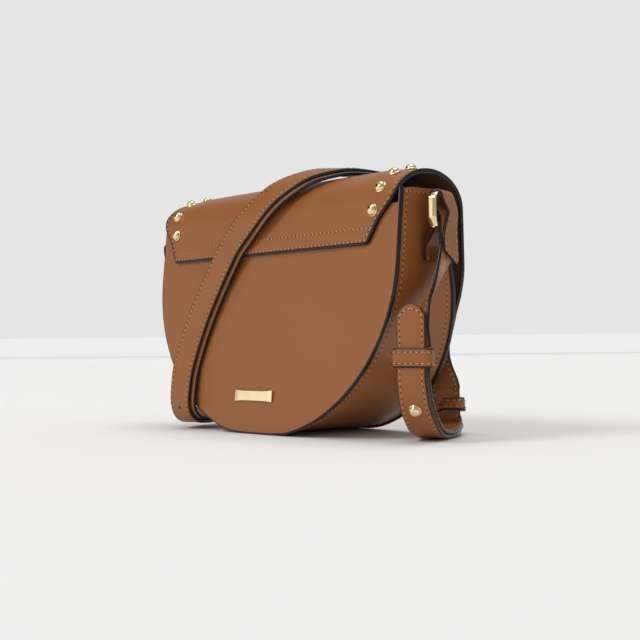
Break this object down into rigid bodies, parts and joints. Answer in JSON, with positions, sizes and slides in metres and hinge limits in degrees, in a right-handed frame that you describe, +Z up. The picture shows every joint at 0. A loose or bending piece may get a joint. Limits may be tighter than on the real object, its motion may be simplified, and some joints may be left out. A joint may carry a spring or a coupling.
{
  "type": "crossbody bag",
  "caption": "Round-bottomed leather crossbody bag with a full flap arched over its mouth, domed studs, a bare back plate and a strap wrapped round the body.",
  "frame": {"origin": "on the ground, under the middle of the line through the two strap rings", "axes": "+X along the width to the bag's left ring, +Y out of its back, which carries the plate, +Z up"},
  "size_m": [0.2842, 0.0997, 0.1689],
  "materials": {
    "tan_leather": "smooth, semi-gloss, with tonal stitching and dark painted edges",
    "dark_leather": "smooth, matt",
    "edge_paint": "painted cut edge, satin",
    "gold_metal": "light gold plate, polished",
    "cloth": "woven lining",
    "board": "plain stiffening board"
  },
  "bodies": {
    "root": {"rear_panel": "tan_leather", "rear_edge": "edge_paint", "front_panel": "tan_leather", "front_edge": "edge_paint", "gusset": "tan_leather", "rear_board": "board", "front_board": "board", "lining": "cloth", "mouth_facing": "dark_leather", "slip_pocket": "cloth", "pocket_trim": "dark_leather", "flap_yoke": "tan_leather", "yoke_edge": "edge_paint", "yoke_studs": "gold_metal", "name_plate": "gold_metal", "snap_socket": "gold_metal", "snap_socket_washer": "gold_metal", "tab_left": "tan_leather", "tab_right": "tan_leather", "leg_right": "tan_leather", "back_inner": "tan_leather", "back_outer": "tan_leather", "turn_left_inner": "tan_leather", "turn_left_outer": "tan_leather", "leg_left_inner": "tan_leather", "leg_left_outer": "tan_leather"},
    "flap": {"flap": "tan_leather", "flap_lining": "dark_leather", "flap_edge": "edge_paint", "flap_studs": "gold_metal", "snap_disc": "gold_metal", "snap_disc_washer": "gold_metal", "leg_right_lower": "tan_leather", "strap_tip": "tan_leather", "turn_right_inner": "tan_leather", "turn_right_outer": "tan_leather", "front_inner": "tan_leather", "front_outer": "tan_leather", "strap_stud": "gold_metal"},
    "ring_left": {"ring_left": "gold_metal", "fold_left": "tan_leather"},
    "ring_right": {"ring_right": "gold_metal", "strap_end_right": "tan_leather"},
    "keeper_upper": {"keeper_upper": "tan_leather"},
    "keeper_lower": {"keeper_lower": "tan_leather"}
  },
  "joints": [
    {"name": "flap_hinge", "type": "hinge", "parent": "root", "child": "flap", "pos_m": [0, 0.03538, 0.138], "axis": [-1, 0, 0], "range_deg": [0, 95]},
    {"name": "ring_left_swing", "type": "hinge", "parent": "root", "child": "ring_left", "pos_m": [0.1238, 0.0044, 0.125], "axis": [0, -1, 0], "range_deg": [0, 25]},
    {"name": "ring_right_rock", "type": "hinge", "parent": "root", "child": "ring_right", "pos_m": [-0.1202, 0.0044, 0.125], "axis": [0, 1, 0], "range_deg": [0, 2]},
    {"name": "keeper_upper_slide", "type": "slide", "parent": "flap", "child": "keeper_upper", "axis": [0, 0, 1], "range_m": [-0.006, 0]},
    {"name": "keeper_lower_slide", "type": "slide", "parent": "flap", "child": "keeper_lower", "axis": [0, 0, 1], "range_m": [-0.001, 0.004]}
  ]
}
